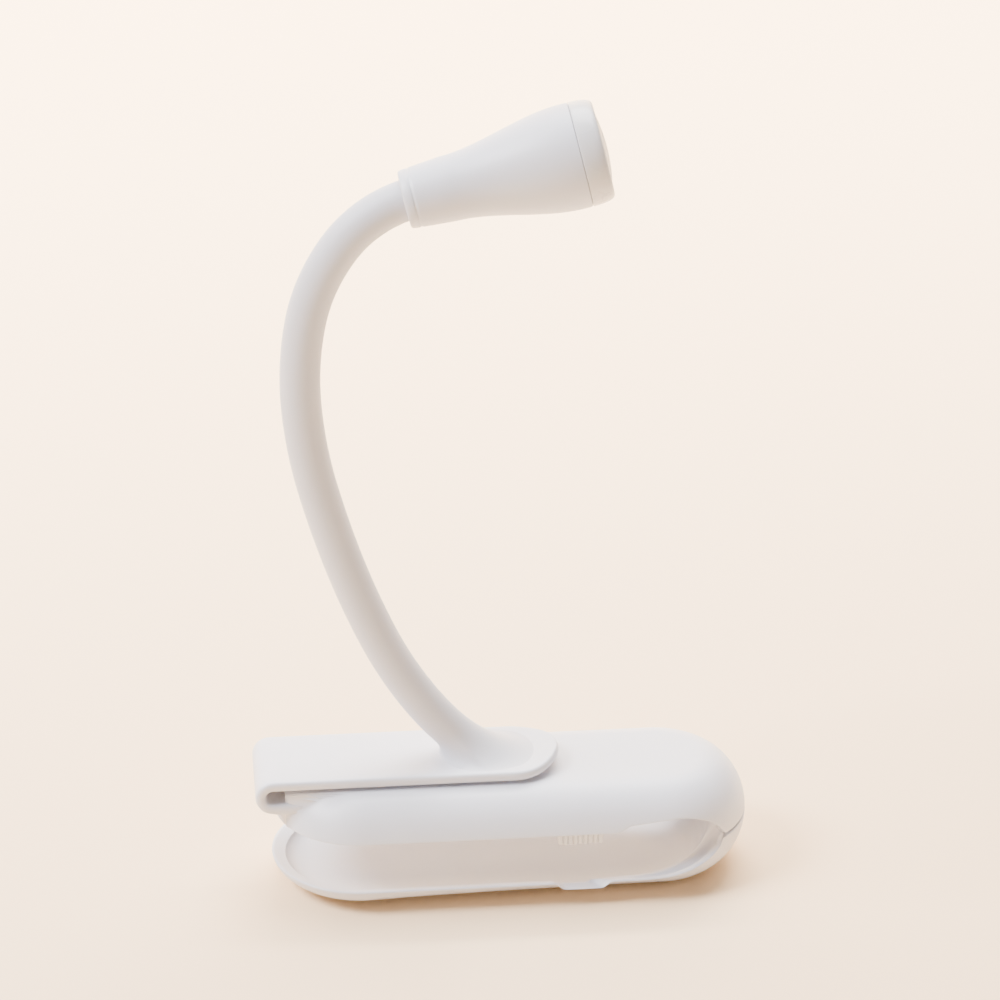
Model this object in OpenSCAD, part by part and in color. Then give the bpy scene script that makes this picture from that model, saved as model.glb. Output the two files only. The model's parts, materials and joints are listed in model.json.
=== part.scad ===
// Clip-on reading lamp: a sprung jaw base, a belt clip on its back, a gooseneck and a bell-shaped head.
// X runs along the base towards the jaw hinge, Y across it, Z up. The origin is the middle of the
// lower jaw's length, on the face that it rests on.

/* [Base] */
// Length of the base, from the jaw's tip to its hinge end
body_l = 93.4; // [84:0.2:112]
// Width of the base
body_w = 35.2; // [34:0.2:42]
// Height of the rim of the lower jaw
rim_h = 5.4; // [5:0.1:7]
// Opening between the lower jaw's rim and the housing's edge
mouth_h = 10.2; // [8:0.1:13]
// Height of the housing above its edge
housing_h = 7.6; // [7.4:0.1:10]
// Wall of the housing
shell_wall = 1.5; // [1.2:0.1:1.8]
// Wall of the lower jaw's floor
jaw_wall = 1.5; // [1.2:0.1:2]
// Width of the slanted rim of the lower jaw
rim_w = 2.6; // [2:0.1:3.2]
// Length of the finger notch in the jaw's rim
notch_l = 11.2; // [10:0.1:14]

/* [Jaw hinge] */
// Radius of the hinge pin
pin_r = 0.75; // [0.6:0.05:0.85]
// Radius of the hinge barrels
barrel_r = 1.7; // [1.6:0.05:1.9]
// Distance from the hinge pin to the end of the base
hinge_inset = 4.3; // [4.2:0.1:5.5]
// How far the jaw opens, in degrees
jaw_open = 6; // [3:0.5:6]
// Wire diameter of the torsion spring
spring_wire = 0.5; // [0.4:0.05:0.55]
// Turns of the torsion spring
spring_turns = 5; // [3:1:6]

/* [Belt clip] */
// Width of the clip
clip_w = 18.6; // [16:0.2:22]
// Thickness of the clip
clip_t = 2.0; // [1.8:0.1:2.4]
// Inner radius of the clip's bend
bend_r = 1.5; // [1.3:0.1:1.9]
// Gap between the clip and the housing
clip_gap = 0.6; // [0.4:0.1:1]
// Straight length of the clip, from its bend to the start of its round end
clip_l = 46.6; // [42:0.2:52]
// How far the clip's round end curls up
tip_lift = 1.8; // [1:0.1:2.5]
// Thickness of the root that the clip grows from
root_t = 2.2; // [1.8:0.1:2.6]

/* [Gooseneck] */
// Outer diameter of the gooseneck sleeve
neck_d = 7.6; // [7:0.1:9]
// Outer diameter of the wound steel core
core_d = 4.6; // [4:0.1:5]
// Length of each sleeve section
section_l = 17; // [15:0.5:20]
// Room between two sleeve sections for a bend of 20 degrees
section_gap = 1.5; // [1.5:0.05:1.8]
// Length of the flared root of the sleeve
root_l = 16; // [14:0.5:18]
// Turn of each stretch of the neck as it is stored, in degrees, from the clip to the head
neck_turns = [-15.5, -11.5, -5.5, -4.5, -10, -15, -26, -39.5];
// Direction in which the neck leaves the clip, in degrees from the hinge end
neck_start = 141; // [130:1:150]

/* [Head] */
// Length of the head
head_l = 37.4; // [34:0.2:44]
// Radius of the head at its back
head_back_r = 5.4; // [5.2:0.1:6.5]
// Radius of the head at its front
head_front_r = 9.7; // [9.2:0.1:12]
// Length of the straight collar at the back of the head
collar_l = 8; // [7:0.5:10]
// Wall of the head
head_wall = 1.3; // [1:0.1:1.6]
// Length of the bezel ring
bezel_l = 4.5; // [4.3:0.1:6]
// Thickness of the lens
lens_t = 1.6; // [1.2:0.1:2]

/* [Switch and power] */
// Length of the ribbed switch knob
knob_l = 8.8; // [8:0.1:10]
// Number of ribs on the knob
knob_ribs = 9; // [7:1:11]
// Travel of the switch
switch_travel = 2; // [1.5:0.1:2.5]
// Diameter of a button cell
cell_d = 20; // [20:0.1:20]
// Thickness of a button cell
cell_t = 3.2; // [3.2:0.1:3.2]

/* [Hidden] */
$fn = 48;
eps = 0.01;
fit_gap = 0.12;        // a push fit that is glued, clipped or screwed
run_gap = 0.04;        // running clearance on the radius
free_gap = 0.3;        // pieces that pass each other
hull_fn = 40;

half_l = body_l / 2;
half_w = body_w / 2;
end_x = half_l - half_w;            // centre of each round end
edge_z = rim_h + mouth_h;           // lower edge of the housing
top_z = edge_z + housing_h;         // top of the housing
hinge_x = half_l - hinge_inset;
seam_gap = hinge_inset * sin(jaw_open) + 0.05;
arch_rise = 2.1;                    // how far the edge has risen where the mouth rounds off
arch_lip = 1.3;                     // how much of that is in the step
arch_x = half_l - 27.4;             // where the step starts
arch_run = 3.4;                     // length of the step
seam_z = edge_z - 3.9;              // level of the hinge pin and of the seam
mouth_end_x = hinge_x - barrel_r + 0.1;
dome_r = 9.5;                       // how far the housing's round shoulder reaches inwards
keel_r = 12;                        // how far the jaw's round bottom reaches inwards

cover_t = 1.2;
cover_lift = 0.5;                   // the cover sits this far above the housing's edge
cover_z = edge_z + cover_lift;

notch_x = body_l * 0.5 - 33.7;      // middle of the notch and of the switch's travel
knob_x = notch_x - switch_travel / 2 + 0.5;

clip_z = top_z + clip_gap;          // underside of the clip
clip_top_z = clip_z + clip_t;
bend_z = clip_z - bend_r;
bend_x = -half_l + 0.4;
clip_end_x = bend_x + clip_l;       // centre of the clip's round end
root_top_z = bend_z - bend_r;
root_in_l = 7;                      // how far the clip's root reaches into the housing
channel_w = 2.4;
channel_h = 0.9;
wire_r = 0.3;
wire_pitch = 0.8;

neck_r = neck_d / 2;
core_r = core_d / 2;
bore_r = core_r + 0.1;
wall_x_clip = clip_end_x - 6.1;     // where the neck's axis meets the top of the clip
neck_p0 = [wall_x_clip, clip_top_z];
SECTIONS = len(neck_turns) - 1;
neck_lengths = [for (i = [0:SECTIONS]) i == 0 ? root_l : section_l];
flare_r = 3.4;                      // how much wider the sleeve's root is at its foot

head_in = 2.3;                      // how far the sleeve enters the head

// ---------- shared shapes ----------

// Points of a quarter ellipse from (x0, z0), going straight up or down first and then inwards.
function quarter(r, a, z0, h, steps = 8) =
    [for (i = [0:steps]) [r - a * (1 - cos(90 * i / steps)), z0 + h * sin(90 * i / steps)]];

// A solid with a round end of the given outline at each end of the base.
module stadium(outline, left = -end_x, right = end_x) {
    hull() {
        translate([left, 0, 0]) rotate_extrude($fn = hull_fn) polygon(outline);
        translate([right, 0, 0]) rotate_extrude($fn = hull_fn) polygon(outline);
    }
}

// A plate of side-view outline, right across the base.
module across(width) {
    rotate([90, 0, 0]) linear_extrude(height = width, center = true) children();
}

// A box from its low corner to its high corner.
module box(low, high) {
    translate(low) cube(high - low);
}

// A round bar along Y.
module bar_y(r, y0, y1) {
    translate([0, y0, 0]) rotate([-90, 0, 0]) cylinder(r = r, h = y1 - y0);
}

// Outside of the housing, drawn in by inset on all sides.
module dome(inset = 0, bottom = seam_z) {
    r = half_w - inset;
    z1 = top_z - inset;
    h = z1 - seam_z;
    a = dome_r - inset;
    shoulder = [for (p = quarter(r, a, seam_z, h)) [p[0], max(p[1], bottom)]];
    stadium(concat([[0, bottom]], shoulder, [[0, z1]]));
}

// ---------- the mouth between the two jaws, in side view ----------

function mouth_low() = [for (i = [0:10])
    let (a = 90 * i / 10)
    [mouth_end_x - 17.5 * (1 - sin(a)), seam_z - (seam_z - rim_h) * cos(a)]];
function mouth_high() = [for (i = [0:10])
    let (a = 90 * (1 - i / 10), top = edge_z + arch_rise)
    [mouth_end_x - 10 * (1 - sin(a)), seam_z + (top - seam_z) * cos(a)]];
function arch_step() = [for (i = [0:6])
    let (t = 1 - i / 6)
    [arch_x + arch_run * t, edge_z + arch_lip * (1 - cos(180 * t)) / 2]];

module mouth_below() {
    polygon(concat([[-body_l, rim_h]], mouth_low(), [[mouth_end_x, top_z * 2], [-body_l, top_z * 2]]));
}
module mouth_above(lift = 0) {
    translate([0, lift]) polygon(concat([[-body_l, -1], [mouth_end_x, -1]], mouth_high(),
        arch_step(), [[-body_l, edge_z]]));
}

// ---------- lower jaw ----------

module knuckles(y0, y1, r, drop) {
    for (s = [-1, 1]) {
        translate([hinge_x, 0, seam_z]) {
            bar_y(r, s > 0 ? y0 : -y1, s > 0 ? y1 : -y0);
        }
        box([hinge_x - r + 0.1, s > 0 ? y0 : -y1, seam_z - drop],
            [hinge_x + r - 0.1, s > 0 ? y1 : -y0, seam_z]);
    }
}

spring_half = 1.9;
tray_knuckle = [spring_half + 0.3, 4.6];
lug = [4.9, 7.1];

module jaw_tray() color("gainsboro") {
    seat_z = seam_z - seam_gap / 2;
    inner_end = mouth_end_x - half_w + rim_w - 1.1;
    difference() {
        union() {
            difference() {
                hull() {
                    translate([-end_x, 0, 0]) rotate_extrude($fn = hull_fn) polygon(concat(
                        [[0, 0]],
                        [for (p = quarter(half_w, keel_r, 0, rim_h)) [p[0], rim_h - p[1]]],
                        [[half_w, seat_z], [0, seat_z]]));
                    translate([end_x, 0, 0]) rotate_extrude($fn = hull_fn) polygon(concat(
                        [[0, 0]],
                        [for (p = quarter(half_w, keel_r - 2, 0, seat_z)) [p[0], seat_z - p[1]]],
                        [[0, seat_z]]));
                }
                across(body_w * 2) mouth_below();
                // dish
                stadium(concat([[0, jaw_wall]],
                    [for (p = quarter(half_w - rim_w, keel_r - 3, 0, rim_h - 0.8 - jaw_wall))
                        [p[0], rim_h - 0.8 - p[1]]],
                    [[half_w - rim_w, seam_z * 2], [0, seam_z * 2]]), -end_x, inner_end);
                // slanted rim
                hull() {
                    translate([-end_x, 0, rim_h - 0.8]) cylinder(r1 = half_w - rim_w,
                        r2 = half_w - 0.7, h = 0.85, $fn = hull_fn);
                    translate([arch_x, 0, rim_h - 0.8]) cylinder(r1 = half_w - rim_w,
                        r2 = half_w - 0.7, h = 0.85, $fn = hull_fn);
                }
                // finger notch
                translate([notch_x, -half_w, rim_h]) rotate([90, 0, 0])
                    linear_extrude(height = 2 * rim_w + 2, center = true)
                        polygon([[-notch_l / 2, 1], [-notch_l / 2, 0], [-notch_l / 2 + 1, -1.5],
                            [notch_l / 2 - 1, -1.5], [notch_l / 2, 0], [notch_l / 2, 1]]);
            }
            knuckles(tray_knuckle[0], tray_knuckle[1], barrel_r, barrel_r + 1);
        }
        // pockets for the spring and for the housing's lugs
        translate([hinge_x, 0, seam_z]) bar_y(barrel_r + free_gap, -spring_half - 0.2,
            spring_half + 0.2);
        for (s = [-1, 1]) translate([hinge_x, s * (lug[0] + lug[1]) / 2, seam_z])
            bar_y(barrel_r + free_gap, -(lug[1] - lug[0]) / 2 - free_gap,
                (lug[1] - lug[0]) / 2 + free_gap);
        box([hinge_x - 0.6, -spring_half, seam_z - 5.4], [hinge_x + 1.6, spring_half, seam_z]);
        translate([hinge_x, 0, seam_z]) bar_y(pin_r + run_gap, -lug[1], lug[1]);
    }
}

function helix(r, y0, y1, turns, steps) = [for (i = [0:steps])
    let (t = i / steps, a = 360 * turns * t)
    [r * cos(a), y0 + (y1 - y0) * t, r * sin(a)]];

// A tube with a ring round each point of a route. side is a direction that the route never takes.
function unit(v) = v / norm(v);
function tangent(p, i) = unit(p[min(i + 1, len(p) - 1)] - p[max(i - 1, 0)]);
function ring(c, t, side, r, n) = let (u = unit(cross(t, side)), v = cross(t, u))
    [for (k = [0:n - 1]) c + r * (cos(360 * k / n) * u + sin(360 * k / n) * v)];
module sweep(path, r, n = 8, side = [0.03, 1, 0.02]) {
    rings = len(path);
    points = [for (i = [0:rings - 1]) each ring(path[i], tangent(path, i), side,
        is_list(r) ? r[i] : r, n)];
    faces = concat(
        [[for (k = [0:n - 1]) k]],
        [for (i = [0:rings - 2], k = [0:n - 1]) let (a = i * n + k, b = i * n + (k + 1) % n)
            [b, a, a + n]],
        [for (i = [0:rings - 2], k = [0:n - 1]) let (a = i * n + k, b = i * n + (k + 1) % n)
            [b, a + n, b + n]],
        [[for (k = [n - 1:-1:0]) (rings - 1) * n + k]]);
    polyhedron(points, faces, convexity = 6);
}

module jaw_spring() color("silver") {
    r = pin_r + 0.25 + spring_wire / 2;
    w = spring_half - spring_wire / 2 - 0.1;
    coil = helix(r, -w, w, spring_turns, 14 * spring_turns);
    path = concat([[r, -w, -4.6], [r, -w, -1.2]], coil, [[r, w, 1.2], [r, w, 3.6]]);
    translate([hinge_x, 0, seam_z]) sweep(path, spring_wire / 2, 6, [0.9, 0.3, 0.1]);
}

// ---------- housing ----------

module hinge_pin() color("silver") {
    translate([hinge_x, 0, seam_z]) bar_y(pin_r, -lug[1] + 0.1, lug[1] - 0.1);
}

// Each pair of cover screws: its place along X, across Y, and how far the cover is stepped up there.
boss = [[-half_l + 10.5, 10.4, 0], [arch_x + arch_run + 3.3, 10.4, arch_rise]];
cell_x = [notch_x - 15.4 - cell_d - 1.6, notch_x - 15.4];
cell_z = cover_z + cover_t + 0.5;
board_z = cell_z + 1.6;
board_w = 22.6;
board_x = [cell_x[1] + cell_d / 2 + 0.8, arch_x + 0.6];

module each_boss() {
    for (b = boss, s = [-1, 1]) translate([b[0], s * b[1], b[2]]) children();
}

module housing_shell() color("whitesmoke") {
    lug_top = seam_z + 4.6;
    difference() {
        union() {
            difference() {
                union() {
                    dome(0, seam_z + seam_gap / 2);
                    // square shoulder that the clip's root enters
                    intersection() {
                        box([-half_l, -clip_w / 2, edge_z - 1], [-end_x, clip_w / 2, top_z]);
                        translate([-end_x, 0, 0]) cylinder(r = half_w, h = top_z);
                        box([-sqrt(half_w * half_w - clip_w * clip_w / 4) - end_x, -half_w, 0],
                            [0, half_w, top_z]);
                    }
                }
                dome(shell_wall, 0);
                across(body_w * 2) mouth_above();
            }
            intersection() {
                dome(0.4, 0);
                union() {
                    for (s = [-1, 1]) box([hinge_x - barrel_r + 0.1, s > 0 ? lug[0] : -lug[1],
                        seam_z], [half_l - 1, s > 0 ? lug[1] : -lug[0], lug_top]);
                    each_boss() translate([0, 0, cover_z + cover_t + fit_gap])
                        cylinder(r = 2.1, h = top_z);
                    // pocket for the clip's root
                    box([-half_l, -clip_w / 2 - 1.2, root_top_z - root_t - 1.2],
                        [bend_x + root_in_l + 1.2, clip_w / 2 + 1.2, root_top_z + 1.2]);
                }
            }
            for (s = [-1, 1]) translate([hinge_x, 0, seam_z])
                bar_y(barrel_r, s > 0 ? lug[0] : -lug[1], s > 0 ? lug[1] : -lug[0]);
        }
        // room for the lower jaw's knuckles and its spring
        translate([hinge_x, 0, seam_z]) bar_y(barrel_r + free_gap, -lug[0] + 0.02, lug[0] - 0.02);
        box([hinge_x - barrel_r - free_gap, -lug[0] + 0.02, 0],
            [hinge_x + barrel_r + free_gap, lug[0] - 0.02, seam_z]);
        for (s = [-1, 1]) box([hinge_x + 1, s > 0 ? lug[0] : -lug[1], 0],
            [half_l + 1, s > 0 ? lug[1] : -lug[0], seam_z + seam_gap / 2]);
        translate([hinge_x, 0, seam_z]) bar_y(pin_r + 0.01, -lug[1], lug[1]);
        each_boss() translate([0, 0, cover_z]) cylinder(r = 0.75, h = 4.4);
        box([-body_l, -clip_w / 2 - fit_gap, root_top_z - root_t - fit_gap],
            [bend_x + root_in_l + fit_gap, clip_w / 2 + fit_gap, root_top_z + fit_gap]);
        box([bend_x + root_in_l, -channel_w / 2, root_top_z - root_t / 2 - channel_h / 2],
            [bend_x + root_in_l + 3, channel_w / 2, root_top_z - root_t / 2 + channel_h / 2]);
    }
}

door_x = [cell_x[0] - 9.6, cell_x[1] + 9.6];
door_w = 21.4;
door_t = 0.9;
screw_at = [cell_x[0] / 2 + cell_x[1] / 2, 8.6];

module cover_outline() {
    lift = cover_lift;
    z1 = edge_z + arch_rise;
    polygon(concat(
        [[-half_l, edge_z + lift], [arch_x - 1.4, edge_z + lift], [arch_x + 1.4, z1 + lift]],
        [for (i = [10:-1:3]) mouth_high()[i] + [lift, lift]],
        [for (i = [3:10]) mouth_high()[i] + [lift + cover_t, lift + cover_t]],
        [[arch_x + 0.7, z1 + lift + cover_t], [arch_x - 2.1, edge_z + lift + cover_t],
            [-half_l, edge_z + lift + cover_t]]));
}

module housing_cover() color("whitesmoke") {
    difference() {
        intersection() {
            across(body_w) cover_outline();
            dome(shell_wall + fit_gap, 0);
            box([-half_l + 3.2, -half_w, 0], [hinge_x - barrel_r - 0.6, half_w, top_z]);
        }
        // battery opening with a ledge for its door
        box([door_x[0], -door_w / 2, 0], [door_x[1], door_w / 2, cover_z + door_t]);
        for (x = cell_x) translate([x, 0, 0]) cylinder(r = cell_d / 2 + 0.3, h = top_z);
        box([cell_x[0], -6, 0], [cell_x[1], 6, top_z]);
        // slot for the knob's stem
        box([knob_x - 1.2, stem_y - 1.2, 0],
            [knob_x + 1.2 + switch_travel, stem_y + 1.2, top_z]);
        box([switch_x - 4.5, switch_y - 2.05, switch_z - 0.2],
            [switch_x + 4.5, switch_y + 2.05, top_z]);
        each_boss() {
            cylinder(r = 1.1, h = top_z);
            translate([0, 0, cover_z - 1]) cylinder(r = 1.9, h = 1.7);
        }
        translate([screw_at[0], screw_at[1], 0]) cylinder(r = 0.6, h = top_z);
    }
}

module battery_door() color("whitesmoke") {
    difference() {
        union() {
            box([door_x[0] + fit_gap, -door_w / 2 + fit_gap, cover_z],
                [door_x[1] - fit_gap, door_w / 2 - fit_gap, cover_z + door_t - 0.1]);
            for (i = [-3:3]) box([door_x[0] + 3 + (i + 3) * 0.9, -4, cover_z - 0.3],
                [door_x[0] + 3.4 + (i + 3) * 0.9, 4, cover_z + eps]);
        }
        translate([screw_at[0], screw_at[1], 0]) cylinder(r = 0.9, h = top_z);
    }
}

module button_cells() color("lightgray") {
    for (x = cell_x) translate([x, 0, cell_z]) {
        cylinder(r = cell_d / 2 - 0.8, h = cell_t);
        translate([0, 0, 0.5]) cylinder(r = cell_d / 2, h = cell_t - 0.5);
    }
}

module cell_contact_top() color("khaki") {
    box([cell_x[0] - 4, -2.5, cell_z + cell_t + 0.02],
        [cell_x[1] + 4, 2.5, cell_z + cell_t + 0.27]);
}

module cell_contact_springs() color("khaki") {
    for (x = cell_x) translate([x, 0, cover_z + door_t]) {
        translate([0, 0, 0.25]) cylinder(r = 3.5, h = 0.25);
        box([-3, -1.2, 0.48], [3, 1.2, cell_z - cover_z - door_t - 0.02]);
    }
}

module circuit_board() color("seagreen") {
    box([board_x[0], -board_w / 2, board_z], [board_x[1], board_w / 2, board_z + 1]);
    translate([board_x[0] + 3.2, 4, board_z + 1 - eps]) box([-1.5, -1.5, 0], [1.5, 1.5, 0.8]);
}

switch_h = 3.2;
switch_y = -10.4;
switch_x = notch_x;
switch_z = board_z - switch_h + eps;
stem_y = switch_y;

module switch_body() color("dimgray") {
    difference() {
        box([switch_x - 4.3, switch_y - 1.8, switch_z], [switch_x + 4.3, switch_y + 1.8, board_z]);
        box([knob_x - 1.2, stem_y - 1, switch_z - 1],
            [knob_x + 1.2 + switch_travel, stem_y + 1, switch_z + 1.2]);
    }
}

module switch_knob() color("white") {
    z0 = edge_z - 2.6;
    z1 = edge_z - 0.35;
    y0 = -half_w + 1.9;
    pitch = knob_l / knob_ribs;
    translate([knob_x, 0, 0]) {
        box([-knob_l / 2, y0, z0 + 0.2], [knob_l / 2, y0 + 1.9, z1]);
        box([-knob_l / 2, y0, z1 - 0.6], [knob_l / 2, stem_y + 1.5, z1]);
        box([-0.9, stem_y - 0.9, z1 - eps], [0.9, stem_y + 0.9, switch_z + 1]);
        for (i = [0:knob_ribs - 1]) translate([-knob_l / 2 + pitch * (i + 0.5), y0 + 0.1, z0])
            cylinder(r = pitch * 0.42, h = z1 - z0);
    }
}

module cover_screws() color("silver") {
    each_boss() {
        translate([0, 0, cover_z + 0.05]) cylinder(r = 1.7, h = 0.6);
        translate([0, 0, cover_z + 0.05]) cylinder(r = 0.74, h = 4);
    }
}

module door_screw() color("silver") {
    translate([screw_at[0], screw_at[1], cover_z - 0.5]) {
        cylinder(r = 1.5, h = 0.48);
        cylinder(r = 0.59, h = 2.1);
    }
}

// ---------- belt clip ----------

module clip_channel(x0, x1, z) {
    box([x0, -channel_w / 2, z - channel_h / 2], [x1, channel_w / 2, z + channel_h / 2]);
}

module clip_root() color("whitesmoke") {
    mid = root_top_z - root_t / 2;
    difference() {
        box([bend_x, -clip_w / 2, root_top_z - root_t],
            [bend_x + root_in_l, clip_w / 2, root_top_z]);
        clip_channel(bend_x - 1, bend_x + root_in_l + 1, mid);
    }
}

module clip_bend() color("whitesmoke") {
    out_r = bend_r + clip_t;
    difference() {
        translate([bend_x, 0, bend_z]) bar_y(out_r, -clip_w / 2, clip_w / 2);
        translate([bend_x, 0, bend_z]) bar_y(bend_r, -clip_w, clip_w);
        box([bend_x - eps, -clip_w, 0], [bend_x + clip_w, clip_w, 2 * top_z]);
        difference() {
            translate([bend_x, 0, bend_z])
                bar_y(bend_r + clip_t / 2 + channel_h / 2, -channel_w / 2, channel_w / 2);
            translate([bend_x, 0, bend_z])
                bar_y(bend_r + clip_t / 2 - channel_h / 2, -channel_w, channel_w);
        }
    }
}

// Side view of the clip: flat, with its end curled up on an arc.
module clip_side() {
    half = clip_w / 2;
    start = clip_end_x + 1.5;
    run = half - 1.5;
    curl = (run * run + tip_lift * tip_lift) / (2 * tip_lift);
    sweep_a = asin(run / curl);
    low = [for (i = [0:8]) let (a = sweep_a * i / 8)
        [start + curl * sin(a), clip_z + curl * (1 - cos(a))]];
    // the upper face thins towards the tip and is drawn back a little from it
    high = [for (i = [8:-1:0]) let (a = sweep_a * i / 8)
        low[i] + clip_t * [-0.6 * sin(a), 1 - 0.25 * i / 8]];
    polygon(concat([[bend_x, clip_z]], low, high, [[bend_x, clip_top_z]]));
}

module clip_tongue() color("whitesmoke") {
    difference() {
        intersection() {
            across(clip_w * 2) clip_side();
            union() {
                box([bend_x, -clip_w / 2, 0], [clip_end_x, clip_w / 2, top_z * 2]);
                translate([clip_end_x, 0, 0]) cylinder(r = clip_w / 2, h = top_z * 2, $fn = 96);
            }
        }
        clip_channel(bend_x - 1, wall_x_clip + 1.4, clip_z + clip_t / 2);
        box([wall_x_clip - 1.6, -channel_w / 2, clip_z + clip_t / 2],
            [wall_x_clip + 1.4, channel_w / 2, top_z * 2]);
    }
}

// ---------- gooseneck: a chain of arcs, each tangent to the last ----------

function start_angle(i) = i == 0 ? neck_start : start_angle(i - 1) + neck_turns[i - 1];
function arc_r(i) = neck_lengths[i] / (abs(neck_turns[i]) * PI / 180);
function start_point(i) = i == 0 ? neck_p0 : neck_at(i - 1, 1);
// The point at share t of stretch i. Every stretch turns clockwise, about a centre on its right.
function neck_at(i, t) = let (a = start_angle(i), b = a + neck_turns[i] * t, r = arc_r(i))
    start_point(i) + r * [cos(a - 90) - cos(b - 90), sin(a - 90) - sin(b - 90)];
function neck_angle(i, t) = start_angle(i) + neck_turns[i] * t;
function to3(p, y = 0) = [p[0], y, p[1]];

// A stretch of bent tube between two shares of stretch i.
module neck_piece(i, from, to, r) {
    a = start_angle(i);
    big = arc_r(i);
    centre = start_point(i) + big * [cos(a - 90), sin(a - 90)];
    sweep_from = 90 + neck_angle(i, from);
    translate(to3(centre)) rotate([90, 0, 0]) rotate([0, 0, sweep_from + neck_turns[i] * (to - from)])
        rotate_extrude(angle = -neck_turns[i] * (to - from), $fn = 64)
            translate([big, 0]) circle(r = r, $fn = 40);
}

gap_share = section_gap / 2 / section_l;

module neck_sleeve(i) color("lightgray") {
    last = i == SECTIONS;
    difference() {
        neck_piece(i, gap_share, last ? 1 : 1 - gap_share, neck_r);
        neck_piece(i, gap_share - 0.01, last ? 1.01 : 1.01 - gap_share, bore_r);
    }
}

ROOT_STEPS = 14;
root_end = 1 - section_gap / 2 / root_l;
// The wires and the core follow the same route, from the clip to the head.
function neck_route(from, to, y, steps) = [
    for (i = [0:SECTIONS], k = [0:steps - 1])
        let (t = k / steps)
        if (i > 0 || t >= from) to3(neck_at(i, t), y),
    to3(neck_at(SECTIONS, to), y)];

module neck_root() color("lightgray") {
    path = [for (k = [-4:ROOT_STEPS]) to3(neck_at(0, root_end * k / ROOT_STEPS))];
    radii = [for (k = [-4:ROOT_STEPS]) let (t = max(0, 1 - max(k, 0) / ROOT_STEPS))
        neck_r + flare_r * pow(t, 3)];
    difference() {
        sweep(path, radii, 24);
        box([-body_l, -body_w, 0], [body_l, body_w, clip_top_z]);
        sweep([for (k = [3:ROOT_STEPS + 1]) to3(neck_at(0, root_end * k / ROOT_STEPS))], bore_r, 16);
        sweep([for (k = [-6:4]) to3(neck_at(0, root_end * k / ROOT_STEPS))], channel_w / 2, 12);
        neck_piece(0, anchor[0] - 0.005, anchor[1] + 0.005, anchor_r + 0.05);
    }
}

anchor = [0.24, 0.55];
anchor_r = core_r + 0.7;
module neck_anchor() color("silver") {
    difference() {
        neck_piece(0, anchor[0], anchor[1], anchor_r);
        neck_piece(0, anchor[0] - 0.05, anchor[1] + 0.05, core_r + 0.06);
    }
}

module neck_core() color("silver") {
    full = neck_route(0.25, 1, 0, 6);
    difference() {
        sweep(full, core_r, 12);
        sweep(concat([full[0] - 2 * tangent(full, 0)], full,
            [full[len(full) - 1] + 2 * tangent(full, len(full) - 1)]), core_r - 0.9, 8);
    }
}

module lead_wires() color("crimson") {
    mid = root_top_z - root_t / 2;
    bend_mid = bend_r + clip_t / 2;
    z_clip = clip_z + clip_t / 2;
    side_y = 11.5;
    for (s = [-1, 1]) {
        y = s * wire_pitch / 2;
        neck = neck_route(0.12, 0.94, y, 5);
        clip = [[board_x[0] + 1.2, side_y - 1.5 + s * 0.4, board_z - wire_r - 0.05],
            [board_x[0] - 2, side_y + s * 0.4, board_z - 0.4],
            [-half_l + 18, side_y + s * 0.4, board_z - 0.4],
            [-half_l + 14.6, side_y - 3.5 + s * 0.4, board_z - 0.2],
            [-half_l + 11.4, side_y - 8.5 + s * 0.3, mid],
            [bend_x + root_in_l + 1.6, y, mid],
            [bend_x + 3, y, mid]];
        bend = [for (k = [0:8]) let (a = 270 - 180 * k / 8)
            [bend_x + bend_mid * cos(a), y, bend_z + bend_mid * sin(a)
                + (k == 0 ? -(root_t - clip_t) / 2 : 0)]];
        up = [[bend_x + 4, y, z_clip], [wall_x_clip - 4, y, z_clip],
            [wall_x_clip - 0.9, y, z_clip + 0.2]];
        sweep(concat(clip, bend, up, neck), wire_r, 6, [0.11, 1, 0.07]);
    }
}

// ---------- head, along its own axis ----------

head_at = neck_at(SECTIONS, 1);
head_a = neck_angle(SECTIONS, 1);
module on_head(s = 0) {
    translate(to3(head_at)) rotate([0, 90 - head_a, 0]) translate([0, 0, s - head_in]) children();
}

bell_end = head_l - bezel_l;
collar_swell = 0.65;                // how much the collar widens towards the bell
// Radius of the bell at a share of its length: a collar that swells in a soft S to the bezel.
function bell_r(share) = let (s = share * bell_end,
    t = max(0, min(1, (s - collar_l) / (bell_end - collar_l - 1.5))))
    head_back_r + collar_swell * min(1, s / collar_l)
        + (head_front_r - head_back_r - collar_swell) * t * t * (3 - 2 * t);
BELL = 16;
cavity_s = 7.6;                     // where the hollow of the head starts
lens_dome = 1;                      // how far the lens bulges
lens_in = 1.8;                      // depth of the lens's seat behind the front
reflector_in = 9.5;                 // how far the reflector reaches behind the bezel
reflector_l = reflector_in + bezel_l - lens_in - 0.2;  // its rim stops short of the lens
led_board_t = 1.2;
function bell(inset) = [for (i = [0:BELL]) let (t = i / BELL) [bell_r(t) - inset, bell_end * t]];

module head_shell() color("whitesmoke") {
    on_head() difference() {
        rotate_extrude($fn = 64) polygon(concat([[0, 0], [head_back_r - 0.5, 0]],
            [[head_back_r, 0.5]], [for (p = bell(0)) if (p[1] > 1) p], [[0, bell_end]]));
        rotate_extrude($fn = 64) polygon(concat(
            [[0, cavity_s], [bell_r(cavity_s / bell_end) - head_wall, cavity_s]],
            [for (p = bell(head_wall)) if (p[1] > cavity_s + 0.4) p],
            [[head_front_r - head_wall, bell_end + 1], [0, bell_end + 1]]));
        translate([0, 0, -1]) cylinder(r = neck_r + 2 * fit_gap, h = 1 + head_in + 0.1);
        translate([0, 0, -1]) cylinder(r = core_r + 0.9 + fit_gap, h = 7);
        cylinder(r = 1.4, h = head_l / 2);
    }
}

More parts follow.
